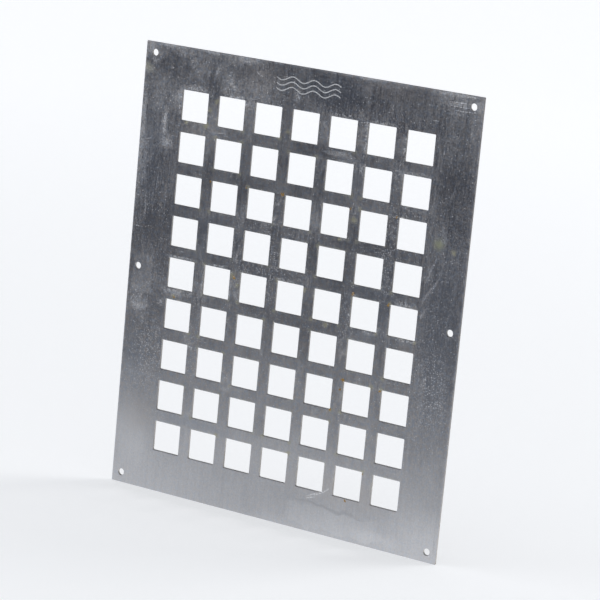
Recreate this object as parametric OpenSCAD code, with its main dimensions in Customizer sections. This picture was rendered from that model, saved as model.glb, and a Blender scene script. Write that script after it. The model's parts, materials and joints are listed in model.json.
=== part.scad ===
// Ventilation grille plate: one piece of mill-finish aluminium sheet with a grid of punched
// square air openings, six screw holes in its border and an engraved airflow symbol.
// The plate stands upright: X is its width, +Z is up and -Y is the front.
// The origin is the centre of the back face, which lies flat on the wall or duct.

/* [Sheet] */
// Width of the sheet
sheet_w = 250; // [220:1:320]
// Height of the sheet
sheet_h = 300; // [285:1:400]
// Thickness of the sheet
sheet_t = 1.5; // [1:0.1:3]

/* [Air openings] */
// Openings side by side
columns = 7; // [3:1:7]
// Openings from bottom to top
rows = 9; // [3:1:9]
// Side of each square opening
opening_size = 20; // [10:0.5:22]
// Width of the bars between openings
bar_w = 8; // [4:0.5:10]

/* [Screw holes] */
// Diameter of each screw hole
screw_hole_d = 4.5; // [3:0.1:6]
// Distance from the sheet's edges to a screw hole's centre
screw_inset = 7; // [5:0.5:9]

/* [Airflow symbol] */
// Length of the wavy lines from end to end
symbol_w = 48; // [30:1:70]
// Number of wavy lines
symbol_lines = 3; // [1:1:3]
// Distance from one wavy line to the next
symbol_pitch = 3.4; // [2.5:0.1:4]
// Waves along each line
waves_per_line = 3; // [1:1:4]
// Rise of each wave above its middle, and its fall below
wave_rise = 1.5; // [0.5:0.1:2]
// Width of each engraved line
symbol_line_w = 0.7; // [0.3:0.1:1]
// Depth of each engraved line
symbol_depth = 0.15; // [0.05:0.05:0.5]
// Distance from the top edge to the middle of the symbol
symbol_drop = 12.5; // [9:0.5:12.5]

/* [Hidden] */
$fn = 64;
cut_past = 1;                                  // how far a cutter runs past the face it cuts
opening_pitch = opening_size + bar_w;
screw_x = sheet_w / 2 - screw_inset;
screw_z = sheet_h / 2 - screw_inset;
wave_length = symbol_w / waves_per_line;
steps_per_wave = 16;                           // straight stretches that a wave is drawn with
line_steps = steps_per_wave * waves_per_line;

// The place of item i of a row of n, spread evenly about zero
function spread(i, n, pitch) = (i - (n - 1) / 2) * pitch;

// Height of a wavy line's middle at x, and its slope there
function wave_at(x) = wave_rise * sin(360 * x / wave_length);
function wave_slope(x) = wave_rise * 2 * PI / wave_length * cos(360 * x / wave_length);

// The point beside a wavy line's middle at x, a given distance away square to the line
function beside_wave(x, away) =
    let (slope = wave_slope(x), scale_down = sqrt(1 + slope * slope))
    [x - away * slope / scale_down, wave_at(x) + away / scale_down];

// The flat blank, lying on the ground with its front face up
module blank() {
    translate([-sheet_w / 2, -sheet_h / 2, 0])
        cube([sheet_w, sheet_h, sheet_t]);
}

// Every square that the punch takes out
module air_openings() {
    for (column = [0 : columns - 1])
        for (row = [0 : rows - 1])
            translate([
                spread(column, columns, opening_pitch) - opening_size / 2,
                spread(row, rows, opening_pitch) - opening_size / 2,
                -cut_past
            ])
                cube([opening_size, opening_size, sheet_t + 2 * cut_past]);
}

// One hole at each corner and one half-way up each side
module screw_holes() {
    for (x = [-screw_x, screw_x])
        for (z = [-screw_z, 0, screw_z])
            translate([x, z, -cut_past])
                cylinder(h = sheet_t + 2 * cut_past, d = screw_hole_d);
}

// One wavy line, as the slot that the engraver cuts
module wavy_line() {
    along = [for (i = [0 : line_steps]) symbol_w * (i / line_steps - 0.5)];
    back = [for (i = [line_steps : -1 : 0]) along[i]];
    linear_extrude(symbol_depth + cut_past)
        polygon(concat(
            [for (x = along) beside_wave(x, symbol_line_w / 2)],
            [for (x = back) beside_wave(x, -symbol_line_w / 2)]
        ));
}

// The airflow symbol, cut into the front face above the openings
module airflow_symbol() {
    for (i = [0 : symbol_lines - 1])
        translate([
            0,
            sheet_h / 2 - symbol_drop + spread(i, symbol_lines, symbol_pitch),
            sheet_t - symbol_depth
        ])
            wavy_line();
}

// The whole plate, stood up with its front towards -Y
module grille_plate() {
    color([0.62, 0.63, 0.65])
        rotate([90, 0, 0])
            difference() {
                blank();
                air_openings();
                screw_holes();
                airflow_symbol();
            }
}

grille_plate();
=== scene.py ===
"""The looks of the ventilation grille plate: one punched, rolled aluminium sheet.

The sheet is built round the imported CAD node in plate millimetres: x across, z up, and depth from
the front face to the back. Its openings and holes have rolled-over, sheared and burred edges.
"""

import json
import math

import bmesh
import bpy
from mathutils import Matrix, Vector


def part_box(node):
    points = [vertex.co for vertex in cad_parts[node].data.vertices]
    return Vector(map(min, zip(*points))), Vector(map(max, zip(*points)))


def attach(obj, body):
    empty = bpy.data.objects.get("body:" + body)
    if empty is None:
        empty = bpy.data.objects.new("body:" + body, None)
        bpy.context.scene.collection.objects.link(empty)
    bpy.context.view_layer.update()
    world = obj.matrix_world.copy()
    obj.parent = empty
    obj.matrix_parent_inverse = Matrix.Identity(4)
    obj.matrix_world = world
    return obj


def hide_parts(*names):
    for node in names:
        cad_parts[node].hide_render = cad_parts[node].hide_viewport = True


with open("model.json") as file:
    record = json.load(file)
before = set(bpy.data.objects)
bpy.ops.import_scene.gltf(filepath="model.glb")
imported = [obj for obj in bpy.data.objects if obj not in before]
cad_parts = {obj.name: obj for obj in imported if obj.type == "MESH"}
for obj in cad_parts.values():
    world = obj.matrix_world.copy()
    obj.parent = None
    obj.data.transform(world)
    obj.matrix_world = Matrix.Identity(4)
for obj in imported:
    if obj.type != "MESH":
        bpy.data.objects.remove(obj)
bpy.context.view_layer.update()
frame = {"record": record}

MM = 0.001
NODE = "grille_plate"
low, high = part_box(NODE)
mounts = {mount["name"]: mount for mount in frame["record"]["mounts"]}
corner_dims = mounts["corner_screws"]["dims"]

# The sheet, in mm
HALF_W = (high.x - low.x) / 2 / MM
HALF_H = (high.z - low.z) / 2 / MM
THICK = (high.y - low.y) / MM
SCREW_X = corner_dims["spacing_x_mm"] / 2
SCREW_Z = corner_dims["spacing_y_mm"] / 2
SCREW_R = corner_dims["hole_r_mm"]
COLUMNS = 7
ROWS = 9
PITCH = 28.0
OPENING = 20.0

# The flat cells round each feature, and how finely curves are drawn, in mm
COLLAR = 11.5            # half side of the square cell round an opening
SCREW_CELL = 4.0         # half side of the square cell round a screw hole
SUPPORT = 0.6            # flat margin kept beside every edge
SCREW_STEPS = 32
OPENING_CORNER_R = 0.6
SHEET_CORNER_R = 0.5
CORNER_STEPS = 3
SHARP_ANGLE = math.radians(40)
KEY_DIGITS = 4           # points that agree to this many decimals of a mm are one point
SLACK = 1e-6

# The airflow symbol, in mm
SYMBOL_HALF_W = 24.0
SYMBOL_Z = HALF_H - 12.5
SYMBOL_PITCH = 3.4
SYMBOL_LINES = 3
WAVE_LENGTH = 16.0
WAVE_RISE = 1.5
LINE_HALF_W = 0.35
LINE_DEPTH = 0.15
SYMBOL_STEPS = 144
SYMBOL_CELL_X = 26.0
SYMBOL_CELL_LOW = HALF_H - 19.0
SYMBOL_CELL_HIGH = HALF_H - 4.0
END_CROWDING = 0.15      # how far the steps along a line close up towards its tapered ends

# The section of an engraved line: across and down, as shares of its half width and its depth
GROOVE = [(-1, 0), (-0.7, 0.8), (0, 1), (0.7, 0.8), (1, 0)]

# Material slots on the sheet
FACE, EDGE, ENGRAVED, BACK = range(4)

# How a sheared edge goes from the front face to the back: how far from the edge into the metal,
# depth as a share of the thickness, and the slot of the strip that ends there
SHEARED = [
    (SUPPORT, 0.000, FACE),
    (0.200, 0.000, FACE),
    (0.105, 0.018, FACE),
    (0.035, 0.060, FACE),
    (0.000, 0.120, EDGE),
    (0.000, 0.400, EDGE),
    (0.030, 0.620, EDGE),
    (0.045, 0.900, EDGE),
    (0.070, 1.000, EDGE),
    (0.130, 0.994, BACK),
    (0.240, 0.980, BACK),
    (SUPPORT, 0.980, BACK),
]


# ---------------------------------------------------------------- the sheet

def spread(count):
    """Places of a row of openings, evenly about zero."""
    return [(i - (count - 1) / 2) * PITCH for i in range(count)]


def rounded_outline(half_x, half_z, radius):
    """Points of a rectangle with rounded corners, anticlockwise from its lower right corner."""
    points = []
    for turn, (side_x, side_z) in enumerate(((1, -1), (1, 1), (-1, 1), (-1, -1))):
        for step in range(CORNER_STEPS + 1):
            angle = math.radians(90 * (turn - 1 + step / CORNER_STEPS))
            points.append((
                side_x * (half_x - radius) + radius * math.cos(angle),
                side_z * (half_z - radius) + radius * math.sin(angle),
            ))
    return points


# Each of the next three rings follows an edge, at a distance (inset) into the metal

def opening_ring(inset):
    half = OPENING / 2 + inset
    return rounded_outline(half, half, OPENING_CORNER_R + inset)


def outline_ring(inset):
    return rounded_outline(HALF_W - inset, HALF_H - inset, max(SHEET_CORNER_R - inset, 0))


def screw_ring(inset):
    radius = SCREW_R + inset
    angles = [2 * math.pi * i / SCREW_STEPS for i in range(SCREW_STEPS)]
    return [(radius * math.cos(a), radius * math.sin(a)) for a in angles]


def screw_cell_ring():
    """The square cell round a screw hole, with one point for each of the hole's own."""
    points = []
    for x, z in screw_ring(0):
        reach = SCREW_CELL / max(abs(x), abs(z))
        points.append((x * reach, z * reach))
    return points


class Sheet:
    """A mesh whose points are shared by place, so that neighbouring faces always join."""

    def __init__(self):
        self.mesh = bmesh.new()
        self.points = {}

    def point(self, x, z, depth):
        key = (round(x, KEY_DIGITS), round(z, KEY_DIGITS), round(depth, KEY_DIGITS))
        if key not in self.points:
            place = (x * MM, low.y + depth * MM, z * MM)
            self.points[key] = self.mesh.verts.new(place)
        return self.points[key]

    def face(self, places, depth, slot, flip=False):
        """A face through (x, z) or (x, z, depth) places, anticlockwise seen from the front."""
        corners = []
        for place in places:
            corner = self.point(place[0], place[1], place[2] if len(place) > 2 else depth)
            if corner not in corners:
                corners.append(corner)
        if len(corners) < 3:
            return
        if flip:
            corners.reverse()
        face = self.mesh.faces.new(corners)
        face.material_index = slot
        face.smooth = True

    def bridge(self, ring, other, depth, other_depth, slot, flip=False):
        """A strip of quads between two rings that have the same number of points."""
        count = len(ring)
        for i in range(count):
            j = (i + 1) % count
            self.face(
                [
                    (*ring[i], depth),
                    (*ring[j], depth),
                    (*other[j], other_depth),
                    (*other[i], other_depth),
                ],
                depth, slot, flip,
            )

    def along(self, depth, fixed, place, start, end):
        """Known points on a straight side, from start to end. fixed is 0 for x and 1 for z."""
        free = 1 - fixed
        first, last = min(start, end), max(start, end)
        found = [
            key[:2] for key in self.points
            if key[2] == round(depth, KEY_DIGITS)
            and key[fixed] == round(place, KEY_DIGITS)
            and first - SLACK <= key[free] <= last + SLACK
        ]
        return sorted(found, key=lambda p: p[free], reverse=start > end)


def moved(ring, x, z):
    return [(px + x, pz + z) for px, pz in ring]


def opening_collar(sheet, x, z, depth, slot, flip):
    """Flat faces from an opening's support ring out to the corners of its square cell."""
    inner = moved(opening_ring(SUPPORT), x, z)
    per_corner = CORNER_STEPS + 1
    outer = [(x + COLLAR, z - COLLAR), (x + COLLAR, z + COLLAR),
             (x - COLLAR, z + COLLAR), (x - COLLAR, z - COLLAR)]
    for i in range(4):
        corner = inner[i * per_corner:(i + 1) * per_corner]
        after = inner[((i + 1) % 4) * per_corner]
        sheet.face([outer[i]] + corner[::-1], depth, slot, flip)
        sheet.face([outer[i], outer[(i + 1) % 4], after, corner[-1]], depth, slot, flip)


def screw_collar(sheet, x, z, depth, slot, flip):
    inner = moved(screw_ring(SUPPORT), x, z)
    outer = moved(screw_cell_ring(), x, z)
    sheet.bridge(outer, inner, depth, depth, slot, flip)


def wave_place(x):
    return WAVE_RISE * math.sin(2 * math.pi * x / WAVE_LENGTH)


def wave_normal(x):
    slope = WAVE_RISE * 2 * math.pi / WAVE_LENGTH * math.cos(2 * math.pi * x / WAVE_LENGTH)
    return Vector((-slope, 1)).normalized()


def groove_section(x, middle):
    """Points across one engraved line at x, from its lower edge to its upper edge."""
    from_end = SYMBOL_HALF_W - abs(x)
    taper = 1.0
    if from_end < LINE_HALF_W:
        taper = math.sqrt(max(1 - (1 - from_end / LINE_HALF_W) ** 2, 0))
    normal = wave_normal(x)
    section = []
    for across, down in GROOVE:
        reach = across * LINE_HALF_W * taper
        section.append((
            x + normal.x * reach,
            middle + wave_place(x) + normal.y * reach,
            down * LINE_DEPTH * taper,
        ))
    return section


def strip(x_from, x_to, *levels):
    """Cells of one upright strip, between each level and the next."""
    ends = sorted((x_from, x_to))
    return [(*ends, *pair) for pair in zip(levels, levels[1:])]


def engraving(sheet):
    """The symbol's grooves and the flat metal between them. Gives back the cells at their ends."""
    middles = [SYMBOL_Z + (i - (SYMBOL_LINES - 1) / 2) * SYMBOL_PITCH for i in range(SYMBOL_LINES)]
    columns = []
    for step in range(SYMBOL_STEPS + 1):
        # Steps close up towards both ends, where the grooves taper out
        share = step / SYMBOL_STEPS
        x = -SYMBOL_HALF_W * math.cos(math.pi * share)
        x = END_CROWDING * x + (1 - END_CROWDING) * SYMBOL_HALF_W * (2 * share - 1)
        column = [(x, SYMBOL_CELL_LOW, 0)]
        for middle in middles:
            column += groove_section(x, middle)
        column.append((x, SYMBOL_CELL_HIGH, 0))
        columns.append(column)
    for left, right in zip(columns, columns[1:]):
        for i in range(len(left) - 1):
            in_groove = i % len(GROOVE) != 0
            slot = ENGRAVED if in_groove else FACE
            sheet.face([left[i], right[i], right[i + 1], left[i + 1]], 0, slot)
    levels = [SYMBOL_CELL_LOW] + middles + [SYMBOL_CELL_HIGH]
    cells = strip(-SYMBOL_HALF_W, -SYMBOL_CELL_X, *levels)
    cells += strip(SYMBOL_HALF_W, SYMBOL_CELL_X, *levels)
    return cells


def flat_cells(sheet, engraved):
    """Every plain rectangle of one face, as (left, right, bottom, top). Engraves it if asked."""
    edge_x = HALF_W - SUPPORT
    edge_z = HALF_H - SUPPORT
    grid_x = spread(COLUMNS)[-1] + COLLAR
    grid_z = spread(ROWS)[-1] + COLLAR
    near, far = SCREW_X - SCREW_CELL, SCREW_X + SCREW_CELL
    below, above = SCREW_Z - SCREW_CELL, SCREW_Z + SCREW_CELL
    cells = []
    for side in (-1, 1):
        cells += strip(side * far, side * edge_x, -edge_z, edge_z)
        # Every second cell of this strip holds a screw hole, and is left to its collar
        levels = (-edge_z, -above, -below, -SCREW_CELL, SCREW_CELL, below, above, edge_z)
        cells += strip(side * near, side * far, *levels)[::2]
        cells += strip(side * grid_x, side * near, -edge_z, edge_z)
    if engraved:
        cells += engraving(sheet)
        for side in (-1, 1):
            cells += strip(side * SYMBOL_CELL_X, side * grid_x, grid_z, edge_z)
        cells += strip(-SYMBOL_CELL_X, SYMBOL_CELL_X, grid_z, SYMBOL_CELL_LOW)
        cells += strip(-SYMBOL_CELL_X, SYMBOL_CELL_X, SYMBOL_CELL_HIGH, edge_z)
    else:
        cells += strip(-grid_x, grid_x, grid_z, edge_z)
    cells += strip(-grid_x, grid_x, -edge_z, -grid_z)
    columns, rows = spread(COLUMNS), spread(ROWS)
    for left, right in zip(columns, columns[1:]):
        cells += strip(left + COLLAR, right - COLLAR, *[
            level for z in rows for level in (z - COLLAR, z + COLLAR)
        ])
    for x in columns:
        for lower, upper in zip(rows, rows[1:]):
            cells += strip(x - COLLAR, x + COLLAR, lower + COLLAR, upper - COLLAR)
    return cells


def flat_face(sheet, depth, slot, engraved=False, flip=False):
    """One side of the sheet, up to the support rings beside its edges."""
    for x in spread(COLUMNS):
        for z in spread(ROWS):
            opening_collar(sheet, x, z, depth, slot, flip)
    for x in (-SCREW_X, SCREW_X):
        for z in (-SCREW_Z, 0, SCREW_Z):
            screw_collar(sheet, x, z, depth, slot, flip)
    cells = flat_cells(sheet, engraved)
    for left, right, bottom, top in cells:
        for x, z in ((left, bottom), (right, bottom), (right, top), (left, top)):
            sheet.point(x, z, depth)
    for left, right, bottom, top in cells:
        places = sheet.along(depth, 1, bottom, left, right)
        places += sheet.along(depth, 0, right, bottom, top)
        places += sheet.along(depth, 1, top, right, left)
        places += sheet.along(depth, 0, left, top, bottom)
        sheet.face(places, depth, slot, flip)


def wall(sheet, ring, x=0.0, z=0.0, flip=False):
    """The sheared edge of an opening, a hole or the outline, from the front to the back."""
    for (inset, share, _), (next_inset, next_share, slot) in zip(SHEARED, SHEARED[1:]):
        sheet.bridge(
            moved(ring(inset), x, z), moved(ring(next_inset), x, z),
            share * THICK, next_share * THICK, slot, flip,
        )


def build_sheet():
    """The whole sheet as one object: every edge first, then the two flat faces between them."""
    sheet = Sheet()
    wall(sheet, outline_ring, flip=True)
    for x in spread(COLUMNS):
        for z in spread(ROWS):
            wall(sheet, opening_ring, x, z)
    for x in (-SCREW_X, SCREW_X):
        for z in (-SCREW_Z, 0, SCREW_Z):
            wall(sheet, screw_ring, x, z)
    flat_face(sheet, 0.0, FACE, engraved=True)
    flat_face(sheet, SHEARED[-1][1] * THICK, BACK, flip=True)
    bmesh.ops.recalc_face_normals(sheet.mesh, faces=sheet.mesh.faces)
    data = bpy.data.meshes.new("grille_sheet")
    sheet.mesh.to_mesh(data)
    sheet.mesh.free()
    data.set_sharp_from_angle(angle=SHARP_ANGLE)
    piece = bpy.data.objects.new("grille_sheet", data)
    bpy.context.scene.collection.objects.link(piece)
    return piece


# ---------------------------------------------------------------- materials

def new_node(tree, kind, **settings):
    """A new shader node with its settings made."""
    made = tree.nodes.new(kind)
    for name, value in settings.items():
        setattr(made, name, value)
    return made


class Recipe:
    """Adds shader nodes to one material with short calls that give back output sockets."""

    def __init__(self, name):
        self.material = bpy.data.materials.new(name)
        self.material.use_nodes = True
        self.tree = self.material.node_tree
        self.tree.nodes.clear()
        # The place on the sheet in mm, the same all the way through its thickness
        place = self.node("ShaderNodeTexCoord").outputs["Object"]
        self.place = self.scaled(place, (1 / MM, 0.0, 1 / MM))

    def node(self, kind, **settings):
        return new_node(self.tree, kind, **settings)

    def feed(self, socket, value):
        """Link an output to an input socket, or set the input's own constant."""
        if isinstance(value, bpy.types.NodeSocket):
            self.tree.links.new(value, socket)
        else:
            socket.default_value = value

    def math(self, operation, first, second=0.0, clamp=False):
        made = self.node("ShaderNodeMath", operation=operation, use_clamp=clamp)
        self.feed(made.inputs[0], first)
        self.feed(made.inputs[1], second)
        return made.outputs[0]

    def vector(self, operation, place, *others, output="Vector"):
        made = self.node("ShaderNodeVectorMath", operation=operation)
        for socket, value in zip(made.inputs, (place, *others)):
            self.feed(socket, value)
        return made.outputs[output]

    def scaled(self, place, factors):
        return self.vector("MULTIPLY", place, factors)

    def shifted(self, place, by):
        return self.vector("ADD", place, by)

    def parts(self, place):
        """The X, Y and Z of a place, as sockets by those names."""
        made = self.node("ShaderNodeSeparateXYZ")
        self.feed(made.inputs[0], place)
        return made.outputs

    def noise(self, place, scale, detail=3.0, roughness=0.55, distortion=0.0):
        made = self.node("ShaderNodeTexNoise")
        self.feed(made.inputs["Vector"], place)
        made.inputs["Scale"].default_value = scale
        made.inputs["Detail"].default_value = detail
        made.inputs["Roughness"].default_value = roughness
        made.inputs["Distortion"].default_value = distortion
        return made.outputs["Fac"]

    def streaks(self, across, along, detail=2.0, shift=0.0):
        """Noise drawn out along the rolling direction. Both lengths are in mm."""
        place = self.shifted(self.scaled(self.place, (1 / across, 0, 1 / along)), (shift,) * 3)
        return self.noise(place, 1.0, detail)

    def step(self, value, start, end):
        """0 at start and 1 at end, with a smooth turn between them."""
        made = self.node("ShaderNodeMapRange", interpolation_type="SMOOTHSTEP")
        self.feed(made.inputs["Value"], value)
        made.inputs["From Min"].default_value = start
        made.inputs["From Max"].default_value = end
        return made.outputs["Result"]

    def times(self, *values):
        product = values[0]
        for value in values[1:]:
            product = self.math("MULTIPLY", product, value)
        return product

    def plus(self, *values):
        total = values[0]
        for value in values[1:]:
            total = self.math("ADD", total, value)
        return total

    def most(self, values):
        """The highest of several values. A generator keeps few of them waiting at once."""
        highest = None
        for value in values:
            highest = value if highest is None else self.math("MAXIMUM", highest, value)
        return highest

    def blend(self, amount, colour, other):
        made = self.node("ShaderNodeMix", data_type="RGBA", clamp_factor=True)
        self.feed(made.inputs["Factor"], amount)
        self.feed(made.inputs[6], colour if not isinstance(colour, tuple) else (*colour, 1))
        self.feed(made.inputs[7], other if not isinstance(other, tuple) else (*other, 1))
        return made.outputs[2]

    def local(self, place, x, z, half_x, half_z, angle=0.0):
        """The place seen from a mark's own middle, with its edge one unit away."""
        made = self.node("ShaderNodeMapping", vector_type="TEXTURE")
        self.feed(made.inputs["Vector"], place)
        made.inputs["Location"].default_value = (x, 0, z)
        made.inputs["Rotation"].default_value = (0, -math.radians(angle), 0)
        made.inputs["Scale"].default_value = (half_x, 1, half_z)
        return made.outputs[0]

    def spot(self, place, x, z, half_x, half_z=None, angle=0.0):
        """1 at a mark's middle, falling evenly to 0 at its oval edge."""
        local = self.local(place, x, z, half_x, half_z or half_x, angle)
        made = self.node("ShaderNodeTexGradient", gradient_type="SPHERICAL")
        self.feed(made.inputs["Vector"], local)
        return made.outputs["Fac"]

    def marks(self, place, marks, full):
        """The strongest of several spots: 0 at a spot's edge, and 1 where it is over full."""
        return self.step(self.most(self.spot(place, *mark) for mark in marks), 0.0, full)

    def panel(self, place, x, z, half_x, half_z, softness):
        """1 inside a rectangle and 0 outside it, with a soft border."""
        local = self.local(place, x, z, half_x, half_z)
        parts = self.parts(self.vector("ABSOLUTE", local))
        reach = self.math("MAXIMUM", parts["X"], parts["Z"])
        return self.step(reach, 1 + softness, 1 - softness)

    def warped(self, size, scale):
        """The place pushed about by noise, so that marks get ragged edges."""
        made = self.node("ShaderNodeTexNoise")
        self.feed(made.inputs["Vector"], self.place)
        made.inputs["Scale"].default_value = scale
        made.inputs["Detail"].default_value = 3.0
        centred = self.shifted(made.outputs["Color"], (-0.5, -0.5, -0.5))
        return self.shifted(self.place, self.scaled(centred, (size * 2, 0, size * 2)))

    def hairlines(self, angle, spacing, width, length, seed):
        """Thin, slightly curved scratches in one direction, broken up along their length."""
        turned = self.local(self.place, seed, seed * 3, spacing, length, angle)
        curve = self.noise(turned, 1.0, 0.0)
        distance = self.math("ABSOLUTE", self.plus(curve, -0.5))
        line = self.step(distance, width, 0.0)
        gaps = self.noise(self.shifted(self.place, (seed, 0, -seed)), 0.06, 2.0)
        return self.times(line, self.step(gaps, 0.52, 0.66))

    def specks(self, size, amount, seed):
        """Small round specks, one to a cell, in a random share of the cells. Some are fainter."""
        laid_flat = self.node("ShaderNodeMapping")
        self.feed(laid_flat.inputs["Vector"], self.place)
        laid_flat.inputs["Location"].default_value = (seed, seed, 0)
        laid_flat.inputs["Rotation"].default_value = (math.radians(90), 0, 0)
        made = self.node("ShaderNodeTexVoronoi", voronoi_dimensions="2D")
        self.feed(made.inputs["Vector"], laid_flat.outputs[0])
        made.inputs["Scale"].default_value = 1 / (size * 3)
        dot = self.step(made.outputs["Distance"], 0.36, 0.16)
        parts = self.node("ShaderNodeSeparateColor")
        self.feed(parts.inputs[0], made.outputs["Color"])
        chosen = self.step(parts.outputs[0], 1 - amount, 1.02 - amount)
        return self.times(dot, chosen, self.plus(self.times(parts.outputs[1], 0.7), 0.3))

    def finish(self, colour, roughness, metallic, height, strength, distance):
        """The shader itself, with height as fine relief. Gives back the finished material."""
        bump = self.node("ShaderNodeBump")
        bump.inputs["Strength"].default_value = strength
        bump.inputs["Distance"].default_value = distance
        self.feed(bump.inputs["Height"], height)
        shader = self.node("ShaderNodeBsdfPrincipled")
        self.feed(shader.inputs["Base Color"], colour)
        self.feed(shader.inputs["Roughness"], roughness)
        self.feed(shader.inputs["Metallic"], metallic)
        self.feed(shader.inputs["Normal"], bump.outputs["Normal"])
        output = self.node("ShaderNodeOutputMaterial")
        self.tree.links.new(shader.outputs["BSDF"], output.inputs["Surface"])
        return self.material


METAL_DARK = (0.43, 0.437, 0.46)
METAL_LIGHT = (0.68, 0.685, 0.705)
OXIDE = (0.60, 0.62, 0.65)
WARM_FILM = (0.61, 0.575, 0.555)
COOL_FILM = (0.50, 0.55, 0.63)
YELLOW_DIRT = (0.54, 0.52, 0.38)
ORANGE_DIRT = (0.42, 0.26, 0.09)
PALE_DIRT = (0.66, 0.65, 0.54)
GREEN_STAIN = (0.44, 0.46, 0.30)
CREAM = (0.64, 0.63, 0.56)
BRIGHT_METAL = (0.80, 0.81, 0.83)
CHALK = (0.86, 0.87, 0.89)
CUT_DARK = (0.52, 0.50, 0.47)
CUT_LIGHT = (0.74, 0.72, 0.68)
GRIME = (0.30, 0.26, 0.20)
ENGRAVED_DARK = (0.52, 0.53, 0.54)
ENGRAVED_LIGHT = (0.74, 0.75, 0.76)
ENGRAVED_DIRT = (0.34, 0.35, 0.37)

CLEAN_TO_TARNISHED = (-115.0, -55.0)   # heights in mm: the metal is cleaner low down
DENSER_FILM = (20, 110)                # heights in mm: the film is a little denser high up
THINNEST_FILM = 0.012

# Marks on the front face, in plate millimetres: x, z, half width, half height, and lean in degrees.
# A round mark has one radius and no lean.
CLOUDS = [
    (-120, 146, 16, 11, 0), (-92, 149, 40, 6, 0), (-82, 140, 12, 14, 0), (-56, 129, 24, 12, -45),
    (-54, 148, 26, 7, 0), (-36, 130, 20, 18, 0), (112, 147, 30, 11, 0), (121, 134, 7, 18, 0),
    (-106, 98, 4, 22, 0), (-104, 86, 9, 9, 0), (-48, -6, 50, 5, 0), (62, 149, 30, 4, 0),
    (43, 112, 7, 12, 0), (71, 112, 5, 10, 0), (15, 112, 5, 9, 0), (-30, 50, 26, 7, 0),
    (-74, 100, 26, 22, 0), (-113, -24, 10, 6, 0), (-42, 112, 7, 16, 0), (-42, 6, 5, 14, 0),
    (14, 54, 7, 8, 0), (-42, -66, 8, 10, 0), (32, 98, 14, 4, 0), (-86, -13, 14, 4, 0),
    (-112, 118, 10, 16, 0), (-100, 118, 8, 14, 0), (-122, 70, 8, 34, 0), (-88, 120, 14, 6, 0),
]
DARK_CLOUDS = [
    (-104, 138, 15, 13, 0), (16, 138, 28, 14, 0), (46, 134, 16, 9, 0),
    (8, 99, 20, 7, 0), (-8, 85, 12, 9, 0), (114, 84, 18, 44, 0), (-112, 46, 12, 34, 0),
    (-98, 22, 12, 34, 0), (58, 44, 44, 14, 0), (58, 16, 44, 12, 0), (70, 20, 10, 30, 0),
    (114, -8, 18, 60, 0), (-122, 8, 8, 26, 0), (-112, -48, 22, 26, 0), (-60, 30, 34, 14, 0),
    (6, -10, 56, 14, 0), (14, 76, 9, 16, 0), (-66, -98, 34, 5, 0), (-14, -90, 6, 10, 0),
    (-44, 64, 12, 12, 0), (-70, 70, 6, 16, 0), (-14, 24, 8, 34, 0), (14, 32, 9, 16, 0),
    (-102, -26, 14, 18, 0), (14, -26, 9, 20, 0), (-34, 12, 34, 12, 0), (42, 20, 8, 40, 0),
]
# Painted reflection: patches of brighter metal low on the front, where the bright floor is reflected
PAINTED_REFLECTION_PATCHES = [
    (-115, -112, 18, 30, 20), (112, -130, 24, 20, 0), (80, -143, 26, 6, 0), (0, -104, 170, 26, 0),
]
COOL_CLOUDS = [
    (112, 0, 20, 90, 0), (-66, 28, 34, 22, 0), (20, 138, 34, 14, 0), (30, 84, 30, 14, 0),
    (60, 10, 30, 40, 0), (-114, 74, 12, 50, 0), (-66, -98, 40, 5, 0), (-116, -64, 12, 24, 0),
]
WARM_CLOUDS = [
    (-36, 138, 22, 14, 0), (62, 143, 34, 7, 0), (-84, 92, 10, 16, 0), (-108, -100, 16, 16, 0),
    (20, -28, 60, 6, 0), (88, -18, 14, 6, 0), (36, 108, 8, 8, 0), (50, -118, 60, 12, 0),
]
PALE_BLOTCHES = [
    (-68, 138.6, 6.5, 2.4, 70), (-57, 130.5, 8.5, 3.2, -48), (-7, 131, 3.5, 7, 0),
    (-96, 118, 4.0, 9, -20), (-84, 125, 9, 2.6, 0), (-106, 98, 2.2, 15, 4), (-104, 86, 6, 5.5, 0),
    (-98, -21, 4.5, 3.5, 0), (122, 143, 5.5, 6, 0), (-123, 100, 3.4, 40, 0), (-122, 146, 6, 6, 0),
    (-117, 138, 4, 3, 0), (-108, 149.5, 16, 2.2, 0), (-72, 149.5, 16, 2.0, 0), (-46, 148, 14, 2.8, 0),
    (-44, 120, 6.5, 3, 0), (-58, 90, 4, 7, 0), (66, -8, 3, 2, 0), (104, 149, 22, 2.6, 0),
    (-114, -27, 9, 3, 8), (40, 149.5, 20, 1.6, 0), (24, 99, 12, 2.4, 0),
]
ORANGE_SPOTS = [
    (-12, 66, 1.92), (-67.4, 65.5, 1.28), (-39, 65.5, 1.28), (39, 65.5, 1.28), (72.6, 66, 1.2),
    (45.7, -45.4, 1.92), (44, -52, 1.04), (73, -47, 1.28), (73, 9.4, 1.28), (46.6, 12, 1.28),
    (38, -66, 1.12), (66, -103, 1.04), (56, -123.5, 0.72), (-42.5, 6, 1.28), (-87.5, -15.8, 1.04),
]
YELLOW_SPOTS = [
    (-44.3, 7, 3.6), (-39.5, 1, 2.2), (-89.5, 101, 2.4), (-74.5, 101, 3.0), (-72, 111.5, 2.6),
    (-67, 118, 2.6), (-12, 107, 2.4), (42, 59, 3.4), (-88, -15.6, 2.4), (11, 7.5, 2.4),
    (115, 50.6, 2.8), (33, 45, 2.4), (29, -12, 2.6), (66, -11, 2.0), (94, -11, 1.8),
]
SPECK_ZONES = [
    (70, 48, 36, 62, 0), (44, -3, 12, 34, 0), (110, -38, 16, 38, 0), (-104, -58, 22, 46, 0),
    (-70, -40, 12, 48, 0), (-116, -20, 12, 14, 0), (-20, 20, 50, 70, 0), (-96, -98, 40, 8, 0),
]
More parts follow.
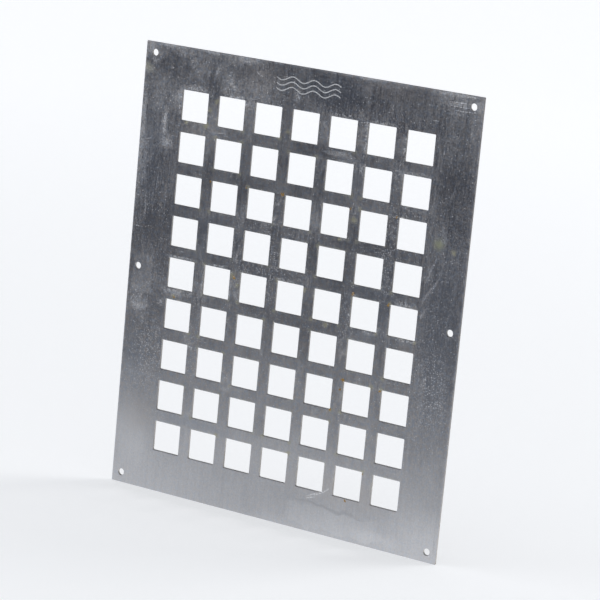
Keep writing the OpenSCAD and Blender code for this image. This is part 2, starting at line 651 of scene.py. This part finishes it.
SCRATCHES = [
    (-37.6, 140.5, 3.2, 0.4, -45), (-103, 135, 1.4, 0.5, 25), (-97, 136.6, 1.2, 0.5, -20),
    (-118, 86, 4.0, 0.3, 12), (-63, 98, 5.5, 0.3, 8), (42, 121.5, 5.0, 0.35, 10),
    (60.6, 130.7, 2.6, 0.4, 0), (93, 130.7, 2.8, 0.4, 0), (101, 111.6, 2.0, 0.4, 90),
    (-121, 26.7, 3.4, 0.35, 0), (113, 104, 4, 0.35, 84), (33, -124, 8, 0.7, 24),
    (37, -122.5, 7, 0.6, 30), (30, -127, 5, 0.5, 18), (41, -120, 5, 0.6, 40), (44.8, -2.2, 0.9, 1.2, 0),
    (-88, 11.3, 5, 0.6, 2), (-79, 11.5, 4.5, 0.5, -3), (-56, 11.3, 8, 0.45, 1), (109, 144.2, 11, 0.4, 2),
    (108, 141.6, 12, 0.35, -1), (112, 139.2, 9, 0.4, 1), (117, 148.6, 8, 0.4, 0), (-19, 104, 6, 0.35, 55),
]
FAINT_SCRATCHES = [
    (42, -62, 8, 0.5, 52), (40, -82, 7, 0.5, 40), (99, 20, 10, 1.2, 62), (104, 27, 9, 0.9, 66),
    (98, 9, 7, 1.0, 58), (-108, 60, 12, 0.8, 84), (-116, 40, 10, 0.7, 95), (104, -60, 12, 0.7, 75),
    (-42, 20, 8, 0.5, 78), (14, -30, 7, 0.5, 60), (-60, -140, 14, 0.6, 8), (60, -134, 16, 0.7, -3),
    (-14, 60, 7, 0.5, 40), (70, -90, 6, 0.5, 55), (105, 143, 14, 1.2, 2),
    (106, 137, 8, 0.8, 3), (-106, 100, 13, 1.4, 88),
    (110, 86, 7, 0.5, 80), (107, 60, 8, 0.5, 100), (-90, 146, 14, 0.7, 2), (100, 36, 12, 1.0, 70),
]
# Jagged frost along the sides of openings: x, z, half width, half height
FROST = [
    (28, 123.2, 10, 0.9), (56, 123.2, 10, 0.9), (-84, 123.4, 9, 1.2), (-52, 123, 8, 0.9),
    (-84, 11.1, 11, 0.8), (-56, 11.1, 10, 0.7), (-4, 11, 6, 0.8), (86, 12, 6, 1.5),
    (61, -11.3, 5, 1.0), (87, -11.3, 7, 1.0), (-84, -12, 11, 1.5), (45.2, 112, 0.8, 10),
    (73.2, 111, 0.8, 11), (-45.2, -4, 0.8, 7), (-66.8, 1, 0.8, 9), (-95.3, 113, 0.9, 6),
    (84, 95.2, 9, 0.9), (30, 94.8, 8, 0.8), (71, 93, 3, 2.5), (43, 92, 3, 2.5),
]

# Single marks, in the same units
PITTED = (-98, -127, 26, 14)
CLEANED = (-114, -112, 24, 36, 20)
STAIN = (104, 54, 6, 6)
STAIN_HALO = (105, 57, 8, 9)
CREAM_PATCH = (-122.5, 133, 7.5, 5.0, -25)
BOTTOM_SHADE = (44, -131.5, 42, 1.5, -3)
SIDE_SHADE = (122.6, -137, 0.8, 10)
# Rectangles: x, z, half width, half height and softness of the border
PALE_PANEL = (-114.5, -4, 7.5, 13, 0.12)
WIPED = (46, -140, 33, 7, 0.08)
OPENINGS_AREA = (0, 0, (COLUMNS - 0.5) * PITCH / 2, (ROWS - 0.5) * PITCH / 2, 0.002)


def from_opening(r, place):
    """How far a place is from the middle of its nearest opening: across and up, as one vector."""
    half = PITCH / 2
    wrapped = r.vector("WRAP", place, (half, half, half), (-half, -half, -half))
    return r.vector("ABSOLUTE", wrapped)


def corner_dirt(r, away):
    """Dirt in the corners of some openings, a different amount at each corner."""
    quarter = PITCH / 2
    cell = r.vector("FLOOR", r.scaled(r.place, (1 / quarter, 0, 1 / quarter)))
    middle = r.shifted(cell, (0.5, 0.5, 0.5))
    chance = r.node("ShaderNodeTexWhiteNoise", noise_dimensions="3D")
    r.feed(chance.inputs["Vector"], middle)
    chosen = r.step(chance.outputs["Value"], 0.5, 1.0)
    corner = (OPENING / 2 + 0.3, 0, OPENING / 2 + 0.3)
    distance = r.vector("DISTANCE", away, corner, output="Value")
    return r.times(r.step(distance, 2.6, 0.3), chosen)


def edge_dirt(r, away, patches, grain):
    """A thin, broken line of pale dirt beside the openings."""
    parts = r.parts(away)
    reach = r.math("MAXIMUM", parts["X"], parts["Z"])
    near = r.step(reach, OPENING / 2 + 1.5, OPENING / 2 + 0.1)
    return r.times(near, r.step(patches, 0.42, 0.68), r.step(grain, 0.35, 0.6))


def opening_dirt(r, skin, torn):
    """The dirt beside the openings and in their corners, but none further out on the sheet."""
    away = from_opening(r, torn)
    edges = edge_dirt(r, away, skin.patches, skin.fine)
    inside = r.panel(r.place, *OPENINGS_AREA)
    corners = r.times(corner_dirt(r, away), inside)
    return r.times(edges, inside), corners


def sheet_border(r):
    """1 along the sheet's outer edges, where the film is thicker."""
    parts = r.parts(r.vector("ABSOLUTE", r.place))
    across = r.math("SUBTRACT", parts["X"], HALF_W)
    upward = r.math("SUBTRACT", parts["Z"], HALF_H)
    return r.step(r.math("MAXIMUM", across, upward), -1.6, -0.2)


class Skin:
    """The rolled skin while it is mixed: its grain, and the amounts that marks add to.

    A thin matt film lies on the bright metal, and its density carries most of the detail. The
    tone goes from darker to lighter metal, and specks are small, chalky and white.
    """

    def __init__(self, r):
        self.fine = r.streaks(0.9, 1.2, 2.0)
        self.grain = r.streaks(0.6, 7, 2.0, shift=2.3)
        self.middling = r.streaks(2.4, 3.2, 3.0, shift=7.1)
        self.lines = r.streaks(2.2, 90, 3.0, shift=11.9)
        self.broad = r.streaks(15, 24, 3.0, shift=3.7)
        self.patches = r.noise(r.place, 0.07, 4.0, 0.6, 0.4)
        self.film = r.plus(
            r.times(r.plus(self.fine, -0.5), 0.28), r.times(r.plus(self.grain, -0.5), 0.20),
            r.times(r.plus(self.middling, -0.5), 0.14), r.times(r.plus(self.lines, -0.5), 0.12),
            r.times(r.plus(self.broad, -0.5), 0.16), 0.060,
        )
        self.tone = r.plus(
            r.times(self.fine, 0.9), r.times(self.grain, 0.35), r.times(self.lines, 0.4),
            r.times(self.middling, 0.5), r.times(self.broad, 0.35), -0.75,
        )
        height = r.parts(r.place)["Z"]
        self.tarnish = r.step(height, *CLEAN_TO_TARNISHED)
        granules = r.plus(r.times(self.fine, 0.7), r.times(self.grain, 0.3), -0.5)
        self.tone = r.plus(self.tone, r.times(granules, self.tarnish, 0.5))
        self.film = r.plus(self.film, r.times(r.step(height, *DENSER_FILM), 0.024))
        self.speck = r.times(r.specks(0.38, 0.07, 5.0), 1.1)
        self.hair = r.most([
            r.hairlines(84, 5, 0.014, 60, 3.0),
            r.hairlines(62, 6, 0.016, 30, 17.0),
            r.hairlines(-30, 7, 0.010, 40, 29.0),
        ])
        self.colour = None


def add_clouds(r, skin, ragged):
    """Wide, soft patches of whitish haze and of darker metal, and a painted reflection: brighter metal
    low on the front, where the bright floor is reflected.
    """
    haze = r.marks(ragged, CLOUDS, 0.7)
    haze = r.times(haze, r.plus(r.times(skin.middling, 1.6), r.times(skin.fine, 1.0), -0.6))
    shade = r.marks(ragged, DARK_CLOUDS, 0.6)
    # Painted reflection: a lighter metal tone low on the front, standing in for the reflected floor
    bright = r.marks(ragged, PAINTED_REFLECTION_PATCHES, 0.8)
    skin.film = r.plus(skin.film, r.times(haze, 0.12), r.times(shade, -0.035))
    skin.tone = r.plus(skin.tone, r.times(shade, -0.25), r.times(bright, 0.25))


def mix_colour(r, skin):
    """Darker and lighter metal by its tone, tinted warmer and cooler in small patches."""
    colour = r.blend(skin.tone, METAL_DARK, METAL_LIGHT)
    hue = r.noise(r.place, 0.42, 3.0, 0.65)
    tint = r.plus(r.times(skin.tarnish, 0.5), 0.35)
    colour = r.blend(r.times(r.step(hue, 0.50, 0.64), tint), colour, WARM_FILM)
    skin.colour = r.blend(r.times(r.step(hue, 0.50, 0.36), tint), colour, COOL_FILM)


def add_patches(r, skin, ragged, torn):
    """Warm, cool, pitted and cleaned areas, zones of specks, and the whitish blotches it returns."""
    blotch = r.marks(torn, PALE_BLOTCHES, 0.9)
    blotch = r.times(blotch, r.step(skin.fine, 0.32, 0.62))
    warm = r.marks(ragged, WARM_CLOUDS, 0.7)
    colour = r.blend(r.times(warm, 0.35), skin.colour, WARM_FILM)
    pits = r.times(r.specks(0.5, 0.25, 31.0), r.marks(ragged, [PITTED], 0.6))
    colour = r.blend(r.times(pits, 0.8), colour, METAL_DARK)
    cleaned = r.marks(ragged, [CLEANED], 0.8)
    colour = r.blend(r.times(cleaned, 0.32), colour, BRIGHT_METAL)
    cool = r.marks(ragged, COOL_CLOUDS, 0.7)
    skin.colour = r.blend(r.times(cool, 0.3), colour, COOL_FILM)
    zones = r.marks(ragged, SPECK_ZONES, 0.9)
    dense = r.times(r.specks(0.42, 0.50, 11.0), zones, r.step(skin.middling, 0.25, 0.6), 1.4)
    skin.speck = r.math("MAXIMUM", skin.speck, dense)
    skin.film = r.plus(skin.film, r.times(blotch, 0.22))
    return blotch


def add_specks(r, skin):
    """Specks and hair scratches thicken the film. There are fewer specks on the cleaner metal."""
    skin.speck = r.times(skin.speck, r.plus(r.times(skin.tarnish, 0.7), 0.3))
    skin.film = r.math("MAXIMUM", skin.film, THINNEST_FILM)
    skin.film = r.plus(skin.film, r.times(skin.speck, 0.26), r.times(skin.hair, 0.10))


def add_marks(r, skin, ragged, torn, blotch):
    """Scratches, frost, dirt round the openings, stains and wiped places."""
    cuts = r.marks(r.place, SCRATCHES, 0.6)
    cuts = r.times(cuts, r.step(skin.fine, 0.3, 0.6))
    faint = r.marks(torn, FAINT_SCRATCHES, 0.8)
    frost = r.most(r.panel(torn, *mark, 0.6) for mark in FROST)
    frost = r.times(frost, r.step(skin.middling, 0.34, 0.60), r.step(skin.fine, 0.36, 0.6))
    edges, corners = opening_dirt(r, skin, torn)
    orange = r.marks(torn, ORANGE_SPOTS, 0.6)
    yellow = r.marks(torn, YELLOW_SPOTS, 0.9)
    yellow = r.math("MAXIMUM", yellow, r.times(corners, 0.8))
    halo = r.marks(ragged, [STAIN_HALO], 0.9)
    stain = r.marks(torn, [STAIN], 0.9)
    cream = r.marks(torn, [CREAM_PATCH], 0.9)
    pale = r.panel(ragged, *PALE_PANEL)
    wiped = r.panel(ragged, *WIPED)
    shade = r.most([r.spot(ragged, *BOTTOM_SHADE), r.spot(torn, *SIDE_SHADE)])
    shade = r.step(shade, 0.0, 0.8)
    colour = r.blend(r.times(edges, 0.7), skin.colour, PALE_DIRT)
    colour = r.blend(r.times(yellow, 0.9), colour, YELLOW_DIRT)
    colour = r.blend(orange, colour, ORANGE_DIRT)
    colour = r.blend(r.times(halo, 0.5), colour, OXIDE)
    colour = r.blend(r.times(stain, 0.8), colour, GREEN_STAIN)
    colour = r.blend(cream, colour, CREAM)
    colour = r.blend(r.times(wiped, 0.16), colour, BRIGHT_METAL)
    skin.colour = r.blend(r.times(shade, 0.55), colour, METAL_DARK)
    skin.film = r.plus(
        skin.film, r.times(frost, 0.22), r.times(edges, 0.13), r.times(yellow, 0.16),
        r.times(orange, 0.30), r.times(halo, 0.04), r.times(stain, 0.15), r.times(cream, 0.15),
        r.times(pale, 0.07), r.times(cuts, 0.26), r.times(faint, 0.15),
        r.times(sheet_border(r), r.step(skin.middling, 0.3, 0.6), 0.14),
    )
    skin.speck = r.most([skin.speck, r.times(frost, 0.4), cuts, r.times(blotch, 0.32)])


def rolled_metal(name, marked):
    """The rolled skin of the sheet. The front has years of oxide, dirt and scratches on it.

    Nodes are made in the order they are needed, so that few values wait at once. Otherwise the
    renderer can't compile so large a material, and it comes out black.
    """
    r = Recipe(name)
    skin = Skin(r)
    if marked:
        ragged = r.warped(5.0, 0.10)
        add_clouds(r, skin, ragged)
    mix_colour(r, skin)
    if marked:
        torn = r.warped(2.0, 0.50)
        blotch = add_patches(r, skin, ragged, torn)
    add_specks(r, skin)
    if marked:
        add_marks(r, skin, ragged, torn, blotch)
    colour = r.blend(r.times(skin.speck, 0.9), skin.colour, CHALK)
    metallic = r.math("SUBTRACT", 1.0, skin.film, clamp=True)
    roughness = r.plus(
        0.24, r.times(skin.film, 0.6), r.times(skin.grain, 0.06), r.times(skin.middling, 0.05),
    )
    height = r.plus(r.times(skin.fine, 0.6), r.times(skin.middling, 0.5), r.times(skin.grain, 0.4))
    return r.finish(colour, roughness, metallic, height, 0.22, 0.05 * MM)


def sheared_metal():
    """Cut edges: pale and slightly warm, finely scored across the sheet, dirty in places."""
    r = Recipe("sheared_metal")
    place = r.node("ShaderNodeTexCoord").outputs["Object"]
    scores = r.noise(r.scaled(place, (1800, 120, 1800)), 1.0, 3.0)
    patches = r.noise(r.scaled(place, (180, 180, 180)), 1.0, 3.0)
    colour = r.blend(scores, CUT_DARK, CUT_LIGHT)
    grime = r.step(patches, 0.45, 0.75)
    colour = r.blend(r.times(grime, 0.6), colour, GRIME)
    roughness = r.plus(0.38, r.times(scores, 0.2), r.times(grime, 0.1))
    metallic = r.math("SUBTRACT", 0.72, r.times(grime, 0.2))
    return r.finish(colour, roughness, metallic, scores, 0.3, 0.03 * MM)


def engraved_metal():
    """The floor of the engraved lines: matt, pale and finely grained."""
    r = Recipe("engraved_metal")
    grain = r.noise(r.place, 3.0, 3.0)
    patches = r.noise(r.place, 0.35, 3.0)
    colour = r.blend(grain, ENGRAVED_DARK, ENGRAVED_LIGHT)
    colour = r.blend(r.times(r.step(patches, 0.5, 0.75), 0.4), colour, ENGRAVED_DIRT)
    metallic = r.plus(0.22, r.times(patches, 0.2))
    roughness = r.plus(0.5, r.times(grain, 0.15))
    return r.finish(colour, roughness, metallic, grain, 0.4, 0.05 * MM)


# ---------------------------------------------------------------- the studio

# The visible backdrop, in metres
BOWL_RADIUS = 4.0
BOWL_CURVE = 1.2
BOWL_HEIGHT = 3.4
BOWL_SIDES = 96
CURVE_STEPS = 12
FLOOR_GLOW = 0.545            # emission beside the sheet
WALL_GLOW = 0.640             # emission of the wall
GLOW_FROM = 0.4               # the distance from the sheet where one starts to become the other
GLOW_TO = 2.2                 # the distance where it has
STUDIO_COLOUR = (0.49, 0.50, 0.515)
STUDIO_GLOW_COLOUR = (0.980, 0.988, 1.0)

# The floor that only the metal reflects, in metres
REFLECTED_RADIUS = 3.0
REFLECTED_LEVEL = 1.06        # its brightness beside the sheet
REFLECTED_FADE = 0.185        # the distance over which that falls to about a third
REFLECTED_NARROWING = 0.35    # how much less it fades sideways
REFLECTED_COLOUR = (0.98, 0.99, 1.0)
SHADE_PLACE = (-0.03, -0.02)  # the middle of the shaded spot by the sheet's foot
SHADE_RADIUS = 0.14
SHADE_KEPT = 0.60             # how much of the brightness is left at its middle

ROOM = (0.087, 0.0915, 0.108)

# Soft round lights: name, place, diameter, power and colour. All of them face the origin.
LIGHTS = [
    ("key_light", (1.3, 1.5, 2.2), 1.2, 25.0, (1.0, 0.99, 0.97)),
    ("fill_light", (-1.6, -1.0, 2.4), 1.8, 15.0, (0.96, 0.98, 1.0)),
]


def studio_object(name, mesh, height, material):
    """A finished mesh as an object of the studio, at a height."""
    data = bpy.data.meshes.new(name)
    mesh.to_mesh(data)
    mesh.free()
    made = bpy.data.objects.new(name, data)
    made.location = (0, 0, height)
    bpy.context.scene.collection.objects.link(made)
    data.materials.append(material)
    return made


def pale_studio():
    """Pale and matt, with a glow of its own that grows a little away from the sheet."""
    material = bpy.data.materials.new("pale_studio")
    material.use_nodes = True
    tree = material.node_tree
    shader = tree.nodes["Principled BSDF"]
    shader.inputs["Base Color"].default_value = (*STUDIO_COLOUR, 1)
    shader.inputs["Roughness"].default_value = 1.0
    shader.inputs["Specular IOR Level"].default_value = 0.0
    shader.inputs["Emission Color"].default_value = (*STUDIO_GLOW_COLOUR, 1)
    place = new_node(tree, "ShaderNodeTexCoord")
    reach = new_node(tree, "ShaderNodeVectorMath", operation="LENGTH")
    tree.links.new(place.outputs["Object"], reach.inputs[0])
    glow = new_node(tree, "ShaderNodeMapRange", interpolation_type="SMOOTHSTEP")
    glow.inputs["From Min"].default_value = GLOW_FROM
    glow.inputs["From Max"].default_value = GLOW_TO
    glow.inputs["To Min"].default_value = FLOOR_GLOW
    glow.inputs["To Max"].default_value = WALL_GLOW
    tree.links.new(reach.outputs["Value"], glow.inputs["Value"])
    tree.links.new(glow.outputs["Result"], shader.inputs["Emission Strength"])
    return material


def studio_bowl():
    """A pale floor that curves up into a round backdrop. The metal doesn't reflect it."""
    profile = [(0.0, 0.0), (BOWL_RADIUS - BOWL_CURVE, 0.0)]
    for step in range(1, CURVE_STEPS + 1):
        angle = math.radians(90 * step / CURVE_STEPS)
        profile.append((
            BOWL_RADIUS - BOWL_CURVE + BOWL_CURVE * math.sin(angle),
            BOWL_CURVE - BOWL_CURVE * math.cos(angle),
        ))
    profile.append((BOWL_RADIUS, BOWL_HEIGHT))
    mesh = bmesh.new()
    rings = []
    for radius, height in profile:
        rings.append([
            mesh.verts.new((
                radius * math.cos(2 * math.pi * i / BOWL_SIDES),
                radius * math.sin(2 * math.pi * i / BOWL_SIDES),
                height,
            ))
            for i in range(BOWL_SIDES if radius else 1)
        ])
    for inner, outer in zip(rings, rings[1:]):
        for i in range(BOWL_SIDES):
            j = (i + 1) % BOWL_SIDES
            corners = [outer[i], outer[j]]
            corners += [inner[j], inner[i]] if len(inner) > 1 else [inner[0]]
            mesh.faces.new(corners).smooth = True
    bowl = studio_object("studio_bowl", mesh, low.z, pale_studio())
    bowl.visible_glossy = False


def tabletop_glow():
    """A glow that fades away from the sheet, with a shaded spot at its foot."""
    material = bpy.data.materials.new("reflected_floor")
    material.use_nodes = True
    tree = material.node_tree
    tree.nodes.clear()
    place = new_node(tree, "ShaderNodeTexCoord")
    reach = new_node(tree, "ShaderNodeVectorMath", operation="LENGTH")
    narrowed = new_node(tree, "ShaderNodeVectorMath", operation="MULTIPLY")
    narrowed.inputs[1].default_value = (REFLECTED_NARROWING, 1.0, 1.0)
    tree.links.new(place.outputs["Object"], narrowed.inputs[0])
    tree.links.new(narrowed.outputs[0], reach.inputs[0])
    falling = new_node(tree, "ShaderNodeMath", operation="MULTIPLY")
    falling.inputs[1].default_value = -1 / REFLECTED_FADE
    tree.links.new(reach.outputs["Value"], falling.inputs[0])
    fade = new_node(tree, "ShaderNodeMath", operation="EXPONENT")
    tree.links.new(falling.outputs[0], fade.inputs[0])
    level = new_node(tree, "ShaderNodeMath", operation="MULTIPLY")
    level.inputs[1].default_value = REFLECTED_LEVEL
    tree.links.new(fade.outputs[0], level.inputs[0])
    under = new_node(tree, "ShaderNodeMapping", vector_type="TEXTURE")
    under.inputs["Location"].default_value = (*SHADE_PLACE, 0)
    under.inputs["Scale"].default_value = (SHADE_RADIUS, SHADE_RADIUS, 1)
    tree.links.new(place.outputs["Object"], under.inputs["Vector"])
    shadow = new_node(tree, "ShaderNodeTexGradient", gradient_type="SPHERICAL")
    tree.links.new(under.outputs[0], shadow.inputs["Vector"])
    kept = new_node(tree, "ShaderNodeMapRange")
    kept.inputs["To Min"].default_value = 1.0
    kept.inputs["To Max"].default_value = SHADE_KEPT
    tree.links.new(shadow.outputs["Fac"], kept.inputs["Value"])
    shaded = new_node(tree, "ShaderNodeMath", operation="MULTIPLY")
    tree.links.new(level.outputs[0], shaded.inputs[0])
    tree.links.new(kept.outputs["Result"], shaded.inputs[1])
    glow = new_node(tree, "ShaderNodeEmission")
    glow.inputs["Color"].default_value = (*REFLECTED_COLOUR, 1)
    tree.links.new(shaded.outputs[0], glow.inputs["Strength"])
    clear = new_node(tree, "ShaderNodeBsdfTransparent")
    both = new_node(tree, "ShaderNodeAddShader")
    tree.links.new(glow.outputs[0], both.inputs[0])
    tree.links.new(clear.outputs[0], both.inputs[1])
    output = new_node(tree, "ShaderNodeOutputMaterial")
    tree.links.new(both.outputs[0], output.inputs["Surface"])
    return material


def reflected_floor():
    """The bright tabletop that only reflections see. It fades into the dark room."""
    mesh = bmesh.new()
    bmesh.ops.create_circle(mesh, cap_ends=True, segments=BOWL_SIDES, radius=REFLECTED_RADIUS)
    disc = studio_object("reflected_floor", mesh, low.z - MM, tabletop_glow())
    disc.visible_camera = False
    disc.visible_diffuse = False
    disc.visible_shadow = False
    disc.visible_transmission = False
    disc.visible_volume_scatter = False


def soft_light(name, place, size, power, colour):
    """A round area light. The metal doesn't reflect it."""
    data = bpy.data.lights.new(name, "AREA")
    data.shape = "DISK"
    data.size = size
    data.energy = power
    data.color = colour
    light = bpy.data.objects.new(name, data)
    light.location = place
    light.rotation_mode = "QUATERNION"
    light.rotation_quaternion = (-Vector(place)).to_track_quat("-Z", "Y")
    light.visible_glossy = False
    bpy.context.scene.collection.objects.link(light)


def dark_room():
    """What the metal reflects above the tabletop."""
    world = bpy.data.worlds.new("dark_room")
    world.use_nodes = True
    world.node_tree.nodes["Background"].inputs["Color"].default_value = (*ROOM, 1)
    bpy.context.scene.world = world


# ---------------------------------------------------------------- the camera

CAMERA_PLACE = Vector((0.8797, -1.5143, 0.3762))  # metres from the middle of the front face
CAMERA_AIM = Vector((0.0084, 0.0, 0.0005))
CAMERA_LEAN = math.radians(10.2)                  # how far the camera's upright leans forward
CAMERA_LENS = 166.64                              # mm, as is the width of its sensor
SENSOR_WIDTH = 36.0


def make_camera():
    """The camera, turned so that the plate's upright leans in the picture as it should."""
    middle = Vector((0, low.y, 0))
    back = (CAMERA_PLACE - CAMERA_AIM).normalized()
    upright = Vector((0, -math.sin(CAMERA_LEAN), math.cos(CAMERA_LEAN)))
    right = upright.cross(back).normalized()
    up = back.cross(right)
    turn = Matrix((right, up, back)).transposed()
    data = bpy.data.cameras.new("camera")
    data.lens = CAMERA_LENS
    data.sensor_width = SENSOR_WIDTH
    camera = bpy.data.objects.new("camera", data)
    camera.matrix_world = Matrix.Translation(middle + CAMERA_PLACE) @ turn.to_4x4()
    bpy.context.scene.collection.objects.link(camera)
    bpy.context.scene.camera = camera


make_camera()
studio_bowl()
reflected_floor()
dark_room()
for light in LIGHTS:
    soft_light(*light)
bpy.context.scene.view_settings.view_transform = "Standard"

grille_sheet = build_sheet()
grille_sheet.data.materials.append(rolled_metal("rolled_front", marked=True))
grille_sheet.data.materials.append(sheared_metal())
grille_sheet.data.materials.append(engraved_metal())
grille_sheet.data.materials.append(rolled_metal("rolled_back", marked=False))
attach(grille_sheet, "root")
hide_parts(NODE)
